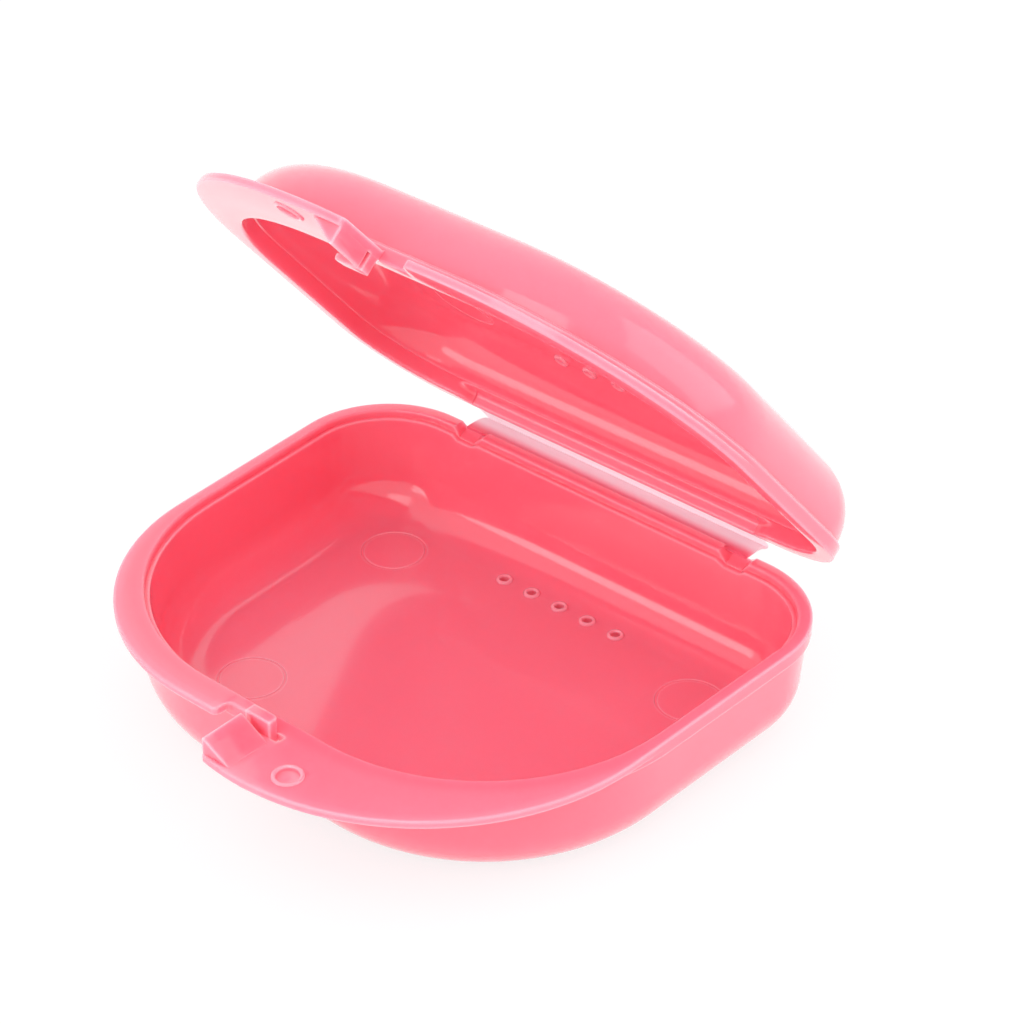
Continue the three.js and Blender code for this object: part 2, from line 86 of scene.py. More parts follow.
@dataclass(frozen=True)
class Outline:
    """A D-shaped outline seen from above, with sides that lean in towards the front.

    Attributes:
        rear: distance of the rear edge behind the origin.
        front: distance of the front edge before the origin.
        rear_half_width: half the width where the sides meet the rear edge.
        front_half_width: half the width where the sides meet the front edge.
        rear_radius: radius of the two rear corners.
        front_radius: radius of the two front corners.
    """

    rear: float = 32.1
    front: float = 31.7
    rear_half_width: float = 40.6
    front_half_width: float = 38.6
    rear_radius: float = 12.15
    front_radius: float = 29.1

    def grown(self, side: float, rear: float, front: float) -> "Outline":
        """Moves the edges outwards.

        Args:
            side: how far the two sides move.
            rear: how far the rear edge moves.
            front: how far the front edge moves.

        Returns:
            The larger outline.
        """
        slope = (self.rear_half_width - self.front_half_width) / (self.rear + self.front)
        return Outline(
            rear=self.rear + rear,
            front=self.front + front,
            rear_half_width=self.rear_half_width + side + slope * rear,
            front_half_width=self.front_half_width + side - slope * front,
            rear_radius=self.rear_radius + (side + rear) / 2,
            front_radius=self.front_radius + (side + front) / 2,
        )

    def reaching(self, reach: float, front_radius: float) -> "Outline":
        """Carries the front edge forward and gives its corners another radius.

        Args:
            reach: how far the front edge is carried.
            front_radius: the new radius of the front corners.

        Returns:
            The outline that reaches further forward.
        """
        return replace(self.grown(0.0, 0.0, reach), front_radius=front_radius)

    def columns(self, rear_steps: int, front_steps: int) -> tuple[np.ndarray, np.ndarray]:
        """Places along the outline, counter-clockwise from above, round corners only.

        Args:
            rear_steps: steps in each rear corner.
            front_steps: steps in each front corner.

        Returns:
            The points and the outward directions, one row each.
        """
        corners = np.array(
            [
                (self.rear_half_width, self.rear),
                (-self.rear_half_width, self.rear),
                (-self.front_half_width, -self.front),
                (self.front_half_width, -self.front),
            ]
        )
        points: list[np.ndarray] = []
        normals: list[np.ndarray] = []
        for index, corner in enumerate(corners):
            is_rear = index < 2
            radius = self.rear_radius if is_rear else self.front_radius
            steps = rear_steps if is_rear else front_steps
            before = corners[index - 1] - corner
            after = corners[(index + 1) % 4] - corner
            before = before / np.linalg.norm(before)
            after = after / np.linalg.norm(after)
            half_angle = math.acos(float(before @ after)) / 2
            middle = (before + after) / np.linalg.norm(before + after)
            centre = corner + middle * radius / math.sin(half_angle)
            start = corner + before * radius / math.tan(half_angle) - centre
            first = math.atan2(start[1], start[0])
            sweep = math.pi - 2 * half_angle
            for step in range(steps + 1):
                angle = first + sweep * step / steps
                normal = np.array((math.cos(angle), math.sin(angle)))
                points.append(centre + radius * normal)
                normals.append(normal)
        return np.array(points), np.array(normals)

    def distance_along(self, point: np.ndarray, direction: np.ndarray) -> float:
        """How far this outline lies from a point inside it, along a direction.

        Args:
            point: a point inside the outline.
            direction: a unit direction.

        Returns:
            The distance to the outline.
        """
        ring, _ = self.columns(rear_steps=48, front_steps=96)
        ends = np.roll(ring, -1, axis=0)
        edges = ends - ring
        offset = ring - point
        cross = direction[0] * edges[:, 1] - direction[1] * edges[:, 0]
        cross = np.where(np.abs(cross) < 1e-12, 1e-12, cross)
        along = (offset[:, 0] * edges[:, 1] - offset[:, 1] * edges[:, 0]) / cross
        share = (offset[:, 0] * direction[1] - offset[:, 1] * direction[0]) / cross
        hits = along[(share >= -1e-9) & (share <= 1 + 1e-9) & (along > 0)]
        return float(hits.min())


def quarter_turn(steps: int) -> list[float]:
    """The evenly spread angles of a quarter turn, in radians."""
    return [math.pi / 2 * step / steps for step in range(steps + 1)]


def soft_corners(path: list[tuple[float, float, float]], steps: int) -> list[Pair]:
    """Rounds the corners of a path.

    Args:
        path: places as (across, level, radius); a radius of 0 keeps a place as it is.
        steps: steps in each round corner.

    Returns:
        The places of the rounded path, always as many for the same pattern of radii.
    """
    places: list[Pair] = []
    for index, (across, level, radius) in enumerate(path):
        here = np.array((across, level))
        if radius <= 0 or index in (0, len(path) - 1):
            places.append((across, level))
            continue
        back = np.array(path[index - 1][:2]) - here
        ahead = np.array(path[index + 1][:2]) - here
        back_length = float(np.linalg.norm(back))
        ahead_length = float(np.linalg.norm(ahead))
        reach = min(radius, 0.45 * back_length, 0.45 * ahead_length)
        start = here + back / max(back_length, 1e-9) * reach
        end = here + ahead / max(ahead_length, 1e-9) * reach
        for step in range(steps + 1):
            share = step / steps
            place = start * (1 - share) ** 2 + here * 2 * share * (1 - share) + end * share**2
            places.append((float(place[0]), float(place[1])))
    return places


def mesh_object(
    name: str, vertices: np.ndarray, faces: Faces, is_welded: bool = False
) -> Object:
    """Makes a mesh object from millimetre vertices.

    Args:
        name: the object's name.
        vertices: rows of x, y and z in millimetres.
        faces: vertex numbers of each face.
        is_welded: whether places that fall together become one.

    Returns:
        The linked object, with its faces turned outwards.
    """
    mesh = bpy.data.meshes.new(name)
    mesh.from_pydata((vertices * MILLIMETRE).tolist(), [], faces)
    built = bmesh.new()
    built.from_mesh(mesh)
    if is_welded:
        bmesh.ops.remove_doubles(built, verts=built.verts[:], dist=1e-7)
        bmesh.ops.dissolve_degenerate(built, edges=built.edges[:], dist=1e-8)
    bmesh.ops.recalc_face_normals(built, faces=built.faces[:])
    built.to_mesh(mesh)
    built.free()
    mesh.update()
    made = bpy.data.objects.new(name, mesh)
    bpy.context.scene.collection.objects.link(made)
    return made


def skin(ring_count: int, count: int, is_round: bool = False) -> Faces:
    """The faces between rings of vertices.

    Args:
        ring_count: how many rings there are.
        count: how many vertices each ring has.
        is_round: whether the last ring joins the first.

    Returns:
        The vertex numbers of each face.
    """
    faces: Faces = []
    for ring in range(ring_count if is_round else ring_count - 1):
        here = ring * count
        there = (ring + 1) % ring_count * count
        for place in range(count):
            after = (place + 1) % count
            faces.append((here + place, here + after, there + after, there + place))
    return faces


def lofted(name: str, rings: np.ndarray) -> Object:
    """Joins rings of points into one closed skin, capped at the first and the last ring.

    Args:
        name: the object's name.
        rings: an array of rings, each a row of points in millimetres.

    Returns:
        The skin as an object.
    """
    ring_count, count = rings.shape[:2]
    last = (ring_count - 1) * count
    caps = [tuple(range(count)), tuple(range(last, last + count))]
    return mesh_object(name, rings.reshape(-1, 3), skin(ring_count, count) + caps)


def turned(name: str, section: list[Pair], steps: int, first: float = 0.0) -> Object:
    """Turns a closed section about the upright axis through the origin.

    Args:
        name: the object's name.
        section: places as (radius, height); a radius of 0 closes on the axis.
        steps: steps round the axis.
        first: where the first step lies, in steps; a half keeps the edges of two bodies apart.

    Returns:
        The turned body as an object.
    """
    vertices: list[tuple[float, float, float]] = []
    for step in range(steps):
        angle = 2 * math.pi * (step + first) / steps
        for radius, height in section:
            vertices.append((radius * math.cos(angle), radius * math.sin(angle), height))
    faces = skin(steps, len(section), is_round=True)
    return mesh_object(name, np.array(vertices), faces, is_welded=True)


def bead_section(
    inner: float, outer: float, height: float, root: float, steps: int
) -> list[Pair]:
    """The closed section of a round bead on a face, with its root below the face.

    No place of it lies in the face itself, so that the two join cleanly.

    Args:
        inner: inner radius of the bead.
        outer: outer radius of the bead.
        height: how far the bead stands above the face.
        root: how far its root reaches below the face.
        steps: steps over the bead.

    Returns:
        Places as (radius, height).
    """
    tuck = 0.25
    middle = (inner + outer) / 2
    reach = (outer - inner) / 2
    section = [(inner, -root), (outer, -root)]
    for step in range(steps + 1):
        angle = (math.pi + 2 * tuck) * step / steps - tuck
        section.append((middle + reach * math.cos(angle), height * math.sin(angle)))
    return section


def prism(name: str, outline: list[Pair], length: float, basis: Matrix, bevel: float) -> Object:
    """Carries an outline along a direction and softens its edges.

    Args:
        name: the object's name.
        outline: places in the plane of the basis's first two axes, in millimetres.
        length: how far the outline is carried along the third axis.
        basis: the place and the three axes of the prism.
        bevel: width of the softened edges.

    Returns:
        The prism as an object.
    """
    count = len(outline)
    near = [(across, up, 0.0) for across, up in outline]
    far = [(across, up, length) for across, up in outline]
    caps = [tuple(range(count)), tuple(range(count, 2 * count))]
    placed = [tuple(basis @ Vector(point)) for point in near + far]
    made = mesh_object(name, np.array(placed), caps + skin(2, count))
    if bevel > 0:
        modifier = made.modifiers.new("soft_edges", "BEVEL")
        modifier.width = bevel * MILLIMETRE
        modifier.segments = 3
        modifier.limit_method = "ANGLE"
        modifier.angle_limit = math.radians(35)
        apply_modifiers(made)
    return made


def apply_modifiers(target: Object) -> None:
    """Turns an object's modifiers into its mesh.

    Args:
        target: the object whose modifiers are applied.
    """
    graph = bpy.context.evaluated_depsgraph_get()
    mesh = bpy.data.meshes.new_from_object(target.evaluated_get(graph))
    target.modifiers.clear()
    old = target.data
    target.data = mesh
    bpy.data.meshes.remove(old)


def combine(target: Object, tool: Object, change: Change) -> None:
    """Joins a solid to another, or cuts it out, and removes the tool.

    Args:
        target: the solid that changes.
        tool: the solid that is joined or cut out.
        change: which of the two happens.
    """
    modifier = target.modifiers.new("combine", "BOOLEAN")
    modifier.object = tool
    modifier.operation = change.value
    modifier.solver = "EXACT"
    apply_modifiers(target)
    bpy.data.objects.remove(tool)


def smooth(target: Object, angle: float) -> None:
    """Shades an object smoothly except at its sharp edges.

    Args:
        target: the object to shade.
        angle: edges sharper than this many degrees stay sharp.
    """
    target.data.shade_smooth()
    target.data.set_sharp_from_angle(angle=math.radians(angle))


def feed(tree: Tree, target: bpy.types.Node, inputs: dict) -> None:
    """Sets or links the inputs of a node.

    Args:
        tree: the node tree.
        target: the node.
        inputs: a value, or the output that feeds it, for each input by name or number.
    """
    for name, value in inputs.items():
        if isinstance(value, Output):
            tree.links.new(value, target.inputs[name])
        else:
            target.inputs[name].default_value = value


def add_node(tree: Tree, kind: str, wanted: str, inputs: dict, **settings: object) -> Output:
    """Adds a node to a tree.

    Args:
        tree: the node tree.
        kind: the node's type, without ShaderNode at its start.
        wanted: the name of the output that is wanted.
        inputs: a value, or the output that feeds it, for each input by name or number.
        **settings: properties of the node itself.

    Returns:
        The wanted output.
    """
    made = tree.nodes.new(f"ShaderNode{kind}")
    for name, value in settings.items():
        setattr(made, name, value)
    feed(tree, made, inputs)
    return made.outputs[wanted]


def noise(tree: Tree, place: Output, scale: float, detail: float) -> Output:
    """Adds noise of the given scale and detail over a place."""
    inputs = {"Vector": place, "Scale": scale, "Detail": detail}
    return add_node(tree, "TexNoise", "Fac", inputs)


def ranged(
    tree: Tree,
    value: Output,
    given: Pair = FULL_RANGE,
    result: Pair = FULL_RANGE,
    kind: str = "LINEAR",
) -> Output:
    """Carries a value from one range to another.

    Args:
        tree: the node tree.
        value: the value's output.
        given: the first range.
        result: the second range.
        kind: the curve between them.

    Returns:
        The output with the carried value.
    """
    inputs = {"Value": value, "From Min": given[0], "From Max": given[1]}
    inputs |= {"To Min": result[0], "To Max": result[1]}
    return add_node(tree, "MapRange", "Result", inputs, interpolation_type=kind)


def mixed(tree: Tree, share: Output, first: Colour | Output, second: Colour) -> Output:
    """Mixes two colours.

    Args:
        tree: the node tree.
        share: the output with the second colour's share.
        first: the first colour, or the output that gives it.
        second: the second colour.

    Returns:
        The output with the mixed colour.
    """
    start = first if isinstance(first, Output) else (*first, 1.0)
    inputs = {"Factor": share, "A": start, "B": (*second, 1.0)}
    return add_node(tree, "Mix", "Result", inputs, data_type="RGBA")


def by_ray(tree: Tree, kinds: tuple[str, ...], usual: Output, special: Output) -> Output:
    """Shows some kinds of ray another shader than the rest.

    Args:
        tree: the node tree.
        kinds: the kinds of ray.
        usual: what the rest sees.
        special: what these kinds see.

    Returns:
        The output with the shader.
    """
    rays = tree.nodes.new("ShaderNodeLightPath").outputs
    share = rays[f"Is {kinds[0]} Ray"]
    for kind in kinds[1:]:
        inputs = {0: share, 1: rays[f"Is {kind} Ray"]}
        share = add_node(tree, "Math", "Value", inputs, operation="MAXIMUM")
    return add_node(tree, "MixShader", "Shader", {"Fac": share, 1: usual, 2: special})


@dataclass(frozen=True)
class Plastic:
    """A glossy, slightly translucent plastic.

    Attributes:
        name: the material's name.
        slot: the record's material slot; it is not used.
        roughness: how rough the polished surface is.
        translucence: share of the light that scatters inside.
        scatter: how far red, green and blue light travels inside, in millimetres.
        waviness: height of the slow waves that a moulding has, in millimetres.
        sheen: weight of the polished skin over the plastic.
        sheen_roughness: how rough that skin is.
        refraction: the plastic's index of refraction.
    """

    name: str
    slot: str
    roughness: float = 0.14
    translucence: float = 0.8
    scatter: Colour = (3.5, 2.0, 2.0)
    waviness: float = 0.02
    sheen: float = 0.6
    sheen_roughness: float = 0.05
    refraction: float = 1.49

    def colour_in(self, tree: Tree) -> Output:
        """The output with the plastic's colour, from nodes that it adds to the tree."""
        raise NotImplementedError

    def lit_through(self, tree: Tree, surface: Output, colour: Output) -> Output:
        """The output with the whole shader; light that comes through is added to the surface."""
        return surface

    def material(self) -> bpy.types.Material:
        """Builds the material once and returns it."""
        found = bpy.data.materials.get(self.name)
        if found is not None:
            return found
        made = bpy.data.materials.new(self.name)
        made.use_nodes = True
        tree = made.node_tree
        colour = self.colour_in(tree)
        place = add_node(tree, "TexCoord", "Object", {})
        polish = (self.roughness * 0.85, self.roughness * 1.2)
        relief = {
            "Strength": 0.35,
            "Distance": self.waviness * MILLIMETRE,
            "Height": noise(tree, place, 60.0, 1.0),
        }
        inputs = {
            "Base Color": colour,
            "Roughness": ranged(tree, noise(tree, place, 240.0, 3.0), result=polish),
            "IOR": self.refraction,
            "Coat Weight": self.sheen,
            "Coat Roughness": self.sheen_roughness,
            "Subsurface Weight": self.translucence,
            "Subsurface Radius": self.scatter,
            "Subsurface Scale": MILLIMETRE,
            "Normal": add_node(tree, "Bump", "Normal", relief),
        }
        shader = tree.nodes["Principled BSDF"]
        feed(tree, shader, inputs)
        whole = self.lit_through(tree, shader.outputs["BSDF"], colour)
        feed(tree, tree.nodes["Material Output"], {"Surface": whole})
        return made

    def dress(self, target: Object) -> None:
        """Gives an object this finish.

        Args:
            target: the object to dress.
        """
        target.data.materials.clear()
        target.data.materials.append(self.material())


@dataclass(frozen=True)
class MouldedPlastic(Plastic):
    """The plastic of the two halves, with painted light that pales it where it is thin and a
    painted highlight on its fine edges.

    Attributes:
        colour: linear colour of the plastic.
        depth_colour: linear colour where the plastic lies a little denser.
        shine_through_colour: painted light, a paler linear colour of thin parts that stands for
            the light shining through them.
        edge_highlight_colour: painted highlight, the linear colour of fine ridges and edges.
        thickness: parts thinner than this count as thin, in millimetres.
        edge: ridges finer than this count as edges, in millimetres.
        samples: rays that measure how thin a part is.
    """

    colour: Colour = (0.98, 0.192, 0.275)
    depth_colour: Colour = (0.98, 0.172, 0.255)
    # Painted light: thin parts turn paler, as if lit through from behind.
    shine_through_colour: Colour = (0.96, 0.33, 0.42)
    # Painted highlight: fine ridges and edges turn palest.
    edge_highlight_colour: Colour = (0.98, 0.6, 0.66)
    thickness: float = 1.6
    edge: float = 0.45
    samples: int = 2

    def colour_in(self, tree: Tree) -> Output:
        """The clouded colour, paler in thin parts with painted light shining through and palest in
        fine edges with a painted highlight.
        """
        place = add_node(tree, "TexCoord", "Object", {})
        base = mixed(tree, noise(tree, place, 45.0, 2.0), self.colour, self.depth_colour)
        # Painted light and highlight: thin parts are paled as if lit through, and fine edges as if
        # catching a glint.
        for reach, given, colour in (
            (self.thickness, (0.6, 0.15), self.shine_through_colour),
            (self.edge, (0.8, 0.3), self.edge_highlight_colour),
        ):
            inside = add_node(
                tree,
                "AmbientOcclusion",
                "AO",
                {"Distance": reach * MILLIMETRE},
                inside=True,
                only_local=True,
                samples=self.samples,
            )
            base = mixed(tree, ranged(tree, inside, given), base, colour)
        return base


@dataclass(frozen=True)
class SheetPlastic(Plastic):
    """The same plastic as a thin sheet, which the light behind it shines through.

    Attributes:
        root_colour: linear colour at the sheet's two edges.
        fold_light_colour: painted light, a pale linear colour of the thin fold that stands for the
            light shining through it and for its highlight.
        fold_range: where the colour turns to the painted light, as shares of the sheet's depth.
        through: share of the light that comes from behind.
    """

    root_colour: Colour = (1.0, 0.3, 0.42)
    # Painted light: the fold's pale colour stands for light shining through the thin sheet and for
    # its highlight.
    fold_light_colour: Colour = (1.0, 0.88, 0.92)
    fold_range: Pair = (0.05, 0.5)
    through: float = 0.75

    def colour_in(self, tree: Tree) -> Output:
        """The colour, which turns from the roots to the painted light of the fold."""
        place = add_node(tree, "TexCoord", "Generated", {})
        depth = add_node(tree, "SeparateXYZ", "Y", {"Vector": place})
        # Painted light grows towards the fold.
        share = ranged(tree, depth, self.fold_range, kind="SMOOTHSTEP")
        return mixed(tree, share, self.root_colour, self.fold_light_colour)

    def lit_through(self, tree: Tree, surface: Output, colour: Output) -> Output:
        """The surface, mixed with the light from behind."""
        behind = add_node(tree, "BsdfTranslucent", "BSDF", {"Color": colour})
        return add_node(tree, "MixShader", "Shader", {"Fac": self.through, 1: surface, 2: behind})


PINK = MouldedPlastic(name="pink_polypropylene", slot="pink_plastic")
PALE = SheetPlastic(name="pale_folding_strip", slot="pale_strip")


@dataclass(frozen=True)
class Step:
    """A step in the inner edge of a rim.

    Attributes:
        width: how far the edge lies back.
        near: level of the step's foot at the rim's edge.
        deep: level of the step's foot at the wall.
    """

    width: float
    near: float
    deep: float


@dataclass(frozen=True)
class Place:
    """One place round the case at which the section is drawn.

    Attributes:
        point: where it lies on the cavity's outline.
        normal: the outward direction there.
        reach: how far the flange stands out.
        side: how far the rim band stands out.
        drop: how far the rim is cut back.
        step: the step in the rim's inner edge.
    """

    point: np.ndarray
    normal: np.ndarray
    reach: float
    side: float
    drop: float
    step: Step


@dataclass
class Moulding:
    """One half of the case: a bowl with a rim band, a narrow flange, a wide tab and a latch.

    Levels are measured from the rim plane into the half, so that they run down in the tray and up
    in the lid. Growth is measured outwards from the cavity's outline.
    """

    half: Half
    name: str
    body: str
    leaf: str
    plane: float
    depth: float
    wall: float
    floor: float
    lean: float
    outer_bend: float
    inner_bend: float
    throat: float
    band_height: float
    vent_inset: float
    marks: tuple[Pair, ...]
    cavity: Outline = Outline()
    band_side: float = 1.9
    band_rear: float = 2.0
    band_front: float = 2.0
    flange_thickness: float = 1.2
    narrow_reach: float = 2.4
    narrow_radius: float = 30.0
    wide_reach: float = 10.1
    wide_radius: float = 35.0
    tab_start: float = 0.3
    tab_corner: float = 0.4
    tab_places: tuple[float, ...] = (1.5, 3.0, 4.5, 6.0, 7.5)
    flange_end: float = 4.7
    end_radius: float = 0.8
    root_radius: float = 0.9
    clearance: float = 0.25
    finger_height: float = 2.3
    finger_thickness: float = 1.7
    ramp_length: float = 6.7
    ramp_run: float = 4.5
    ramp_crest: float = 0.35
    ring_across: float = 11.2
    ring_inset: float = 4.4
    ring_outer: float = 2.1
    ring_inner: float = 1.5
    ring_height: float = 0.25
    dimple_depth: float = 0.45
    vent_count: int = 5
    vent_pitch: float = 5.0
    vent_hole: float = 0.65
    collar_radius: float = 1.2
    collar_height: float = 0.38
    mark_radius: float = 4.7
    mark_width: float = 0.4
    mark_depth: float = 0.1
    edge: float = 0.3
    inner_edge: float = 0.4
    step_edge: float = 0.15
    foot_edge: float = 0.15
    outer_drop: float = 1.0
    root: float = 0.4
    sunk: float = 0.3
    piece_edge: float = 0.12
    gap: float = 0.02
    rear_steps: int = 26
    front_steps: int = 52
    bend_steps: int = 14
    corner_steps: int = 4
    side_steps: int = 9
    ring_steps: int = 48
    mark_steps: int = 96
    vent_steps: int = 32
    sharp_angle: float = 32.0

    @property
    def into(self) -> int:
        """The direction in which levels run: down for the tray and up for the lid."""
        return -1 if self.half is Half.TRAY else 1

    @property
    def nodes(self) -> list[str]:
        """The CAD nodes of the half without its leaf, which the folding strip stands for."""
        members = frame["record"]["behaviour"]["bodies"][self.body]
        return [node for node in members if node != self.leaf]

    @property
    def ledge(self) -> float:
        """How far the rim band's front face lies before the origin."""
        return self.cavity.front + self.band_front

    def drop_at(self, across: float) -> float:
        """How far the rim's rear edge is cut back at a place across the case.

        Args:
            across: the place, measured from the middle.

        Returns:
            The depth of the cut at that place.
        """
        raise NotImplementedError

    def step_at(self, across: float, is_rear: bool) -> Step:
        """The step in the rim's inner edge.

        Args:
            across: the place, measured from the middle.
            is_rear: whether the place lies on the straight rear edge.

        Returns:
            The step at that place.
        """
        raise NotImplementedError

    def rear_places(self) -> list[float]:
        """The places across the case where the form of the rear edge changes."""
        raise NotImplementedError

    def bend_path(self, bend: float, growth: float, depth: float) -> list[Pair]:
        """The round stretch between a flat bottom and a leaning wall.

        Args:
            bend: radius of the bend.
            growth: growth of the wall at the rim plane.
            depth: level of the flat.

        Returns:
            Places as (growth, level), from the flat to the wall.
        """
        wall_growth = growth - self.lean * (depth - bend) / depth
        centre = wall_growth - bend
        return [
            (centre + bend * math.sin(angle), depth - bend + bend * math.cos(angle))
            for angle in quarter_turn(self.bend_steps)
        ]

    def section(self, place: Place) -> list[Pair]:
        """The section of the half at one place round the rim.

        Args:
            place: what the rim is like there.

        Returns:
            Places as (growth, level), from the inner flat over the rim to the outer flat.
        """
        # The levels keep their order where a notch cuts the rim back below them.
        drop = place.drop
        deep = max(place.step.deep, drop + 0.25)
        near = max(place.step.near, drop + 0.15)
        mouth = self.throat + place.step.width
        outer = self.throat + self.wall
        under = max(self.flange_thickness, drop + 0.3)
        band = max(self.band_height, under + 0.4)
        rim = [
            (self.throat, deep + 1.0, 0.0),
            (self.throat, deep, self.step_edge),
            (mouth, near, self.foot_edge),
            (mouth, drop, self.inner_edge),
            (place.reach, drop * self.outer_drop, self.edge),
            (place.reach, under - 0.05, self.edge),
            (place.side, under + 0.05, self.root),
            (place.side, band, self.edge),
            (outer, band, self.root),
            (outer, band + 1.0, 0.0),
        ]
        inside = self.bend_path(self.inner_bend, self.throat, self.depth - self.floor)
        outside = self.bend_path(self.outer_bend, outer, self.depth)
        return inside + soft_corners(rim, self.corner_steps)[1:-1] + outside[::-1]

    def front_places(self) -> list[Pair]:
        """Places across the front and the flange's reach there, from the narrow side inwards.

        Returns:
            Pairs of the place across, positive on the wide tab's side, and the reach.
        """
        places: list[Pair] = []
        end = -self.flange_end
        start = self.tab_start
        corner = self.tab_corner
        narrow = self.band_front + self.narrow_reach
        for angle in quarter_turn(6):
            across = end - self.end_radius + self.end_radius * math.sin(angle)
            places.append((across, narrow - self.end_radius * (1 - math.cos(angle))))
        for angle in quarter_turn(6):
            across = end + self.gap + self.root_radius * (1 - math.cos(angle))
            reach = self.band_front + self.root_radius * (1 - math.sin(angle))
            places.append((across, reach))
        for across in ((end + self.root_radius + start) / 2, start - corner, start - self.gap):
            places.append((across, self.band_front))
        for angle in quarter_turn(3):
            across = start + corner * (1 - math.cos(angle))
            places.append((across, self.wide_front(across) - corner * (1 - math.sin(angle))))
        return places + [(across, self.wide_front(across)) for across in self.tab_places]

    def wide_front(self, across: float) -> float:
        """How far the wide tab's front edge, which is round, stands out near the middle.

        Args:
            across: the place, measured from the middle towards the tab's side.

        Returns:
            The reach of the tab at that place.
        """
        band = self.cavity.grown(self.band_side, self.band_rear, self.band_front)
        wide = band.reaching(self.wide_reach, self.wide_radius)
        front_right = 6
        turn = wide.columns(1, 1)[0][front_right][0]
        past = max(0.0, turn - across)
        sag = self.wide_radius - math.sqrt(self.wide_radius**2 - past**2)
        return self.band_front + self.wide_reach - sag

    def columns(self) -> list[Place]:
        """The places round the case at which the section is drawn."""
        points, normals = self.cavity.columns(self.rear_steps, self.front_steps)
        band = self.cavity.grown(self.band_side, self.band_rear, self.band_front)
        narrow = band.reaching(self.narrow_reach, self.narrow_radius)
        wide = band.reaching(self.wide_reach, self.wide_radius)
        plain = self.step_at(0.0, False)
        places: list[Place] = []

        def add(point: np.ndarray, normal: np.ndarray) -> None:
            """Adds a place whose flange reaches to the outlines.

            Args:
                point: where it lies on the cavity's outline.
                normal: the outward direction there.
            """
            side = band.distance_along(point, normal)
            reach = side
            if point[1] < 0:
                outline = wide if point[0] > 0 else narrow
                reach = max(side, outline.distance_along(point, normal))
            places.append(Place(point, normal, reach, side, 0.0, plain))

        def add_straight(first: int, last: int) -> None:
            """Adds evenly spread places on the side between two of the outline's points."""
            for share in np.linspace(0, 1, self.side_steps + 1)[1:-1]:
                add(points[first] + (points[last] - points[first]) * share, normals[last])

        right_end = self.rear_steps + 1
        left_end = 2 * right_end
        front_end = left_end + self.front_steps + 1
        for index in range(right_end):
            add(points[index], normals[index])
        spread = list(np.linspace(-18, 18, self.side_steps)) + self.rear_places()
        for across in sorted(spread, reverse=True):
            point = np.array((across, self.cavity.rear))
            side = self.band_rear
            normal = np.array((0.0, 1.0))
            step = self.step_at(across, True)
            places.append(Place(point, normal, side, side, self.drop_at(across), step))
        for index in range(right_end, left_end):
            add(points[index], normals[index])
        add_straight(left_end - 1, left_end)
        for index in range(left_end, front_end):
            add(points[index], normals[index])
        for across, reach in self.front_places():
            point = np.array((across, -self.cavity.front))
            side = min(self.band_front, reach)
            places.append(Place(point, np.array((0.0, -1.0)), reach, side, 0.0, plain))
        for index in range(front_end, len(points)):
            add(points[index], normals[index])
        add_straight(-1, 0)
        return places

    def rings(self) -> np.ndarray:
        """The rings of the half, one through each place of the section, in closed position."""
        columns = self.columns()
        sections = [self.section(place) for place in columns]
        rings = np.zeros((len(sections[0]), len(columns), 3))
        for column, (place, section) in enumerate(zip(columns, sections)):
            for ring, (growth, level) in enumerate(section):
                where = place.point + place.normal * growth
                rings[ring, column] = (
                    self.half.value * where[0],
                    where[1],
                    self.plane + self.into * level,
                )
        return rings

    def cross_basis(self, rear: float) -> Matrix:
        """A basis with X across, Z along the levels and its length running to the front.

        Args:
            rear: the place along Y where the piece starts.

        Returns:
            The basis as a matrix; levels below the plane are negative.
        """
        side = float(self.half.value)
        rise = float(-self.into)
        rows = (side, 0, 0, 0), (0, 0, -1, rear), (0, rise, 0, self.plane), (0, 0, 0, 1)
        return Matrix(rows)

    def plan_basis(self, start: float) -> Matrix:
        """A basis with X across and Y along the case, whose length runs out of the rim plane.

        Args:
            start: the height above the rim plane where the piece starts.

        Returns:
            The basis as a matrix.
        """
        side = float(self.half.value)
        rise = float(-self.into)
        level = self.plane + rise * start
        return Matrix(((side, 0, 0, 0), (0, 1, 0, 0), (0, 0, rise, level), (0, 0, 0, 1)))

    def finger(self) -> Object:
        """The latch finger, with its hollowed corner matched by a round one."""
        end = self.flange_end - self.clearance
        rear = -(self.ledge + self.clearance)
        front = rear - self.finger_thickness
        corner = self.root_radius - self.clearance
        outline = [(self.tab_start, front), (end, front), (end, rear - corner)]
        for angle in quarter_turn(6)[1:]:
            across = end - corner + corner * math.cos(angle)
            outline.append((across, rear - corner + corner * math.sin(angle)))
        outline.append((self.tab_start, rear))
        length = self.finger_height + self.sunk
        basis = self.plan_basis(-self.sunk)
        return prism(f"{self.name}_finger", outline, length, basis, self.piece_edge)

    def ramp(self) -> Object:
        """The thumb ramp, a wedge that falls away from the middle."""
        foot = self.tab_start + self.ramp_run
        outline = [
            (self.tab_start, -self.sunk),
            (foot, -self.sunk),
            (foot, self.gap),
            (self.tab_start + self.ramp_crest, self.finger_height),
            (self.tab_start, self.finger_height),
        ]
        basis = self.cross_basis(-(self.ledge + self.narrow_reach + self.clearance))
        return prism(f"{self.name}_ramp", outline, self.ramp_length, basis, self.piece_edge)

    def placed(self, target: Object, face: Matrix) -> Object:
        """Moves a turned body to a face, with its height turned out of the material.

        Args:
            target: the turned body, at the origin.
            face: the place and the lean of the face, in metres.

        Returns:
            The same body.
        """
        target.data.transform(face @ Matrix.Diagonal((1, 1, -self.into, 1)))
        if self.into > 0:
            target.data.flip_normals()
        return target

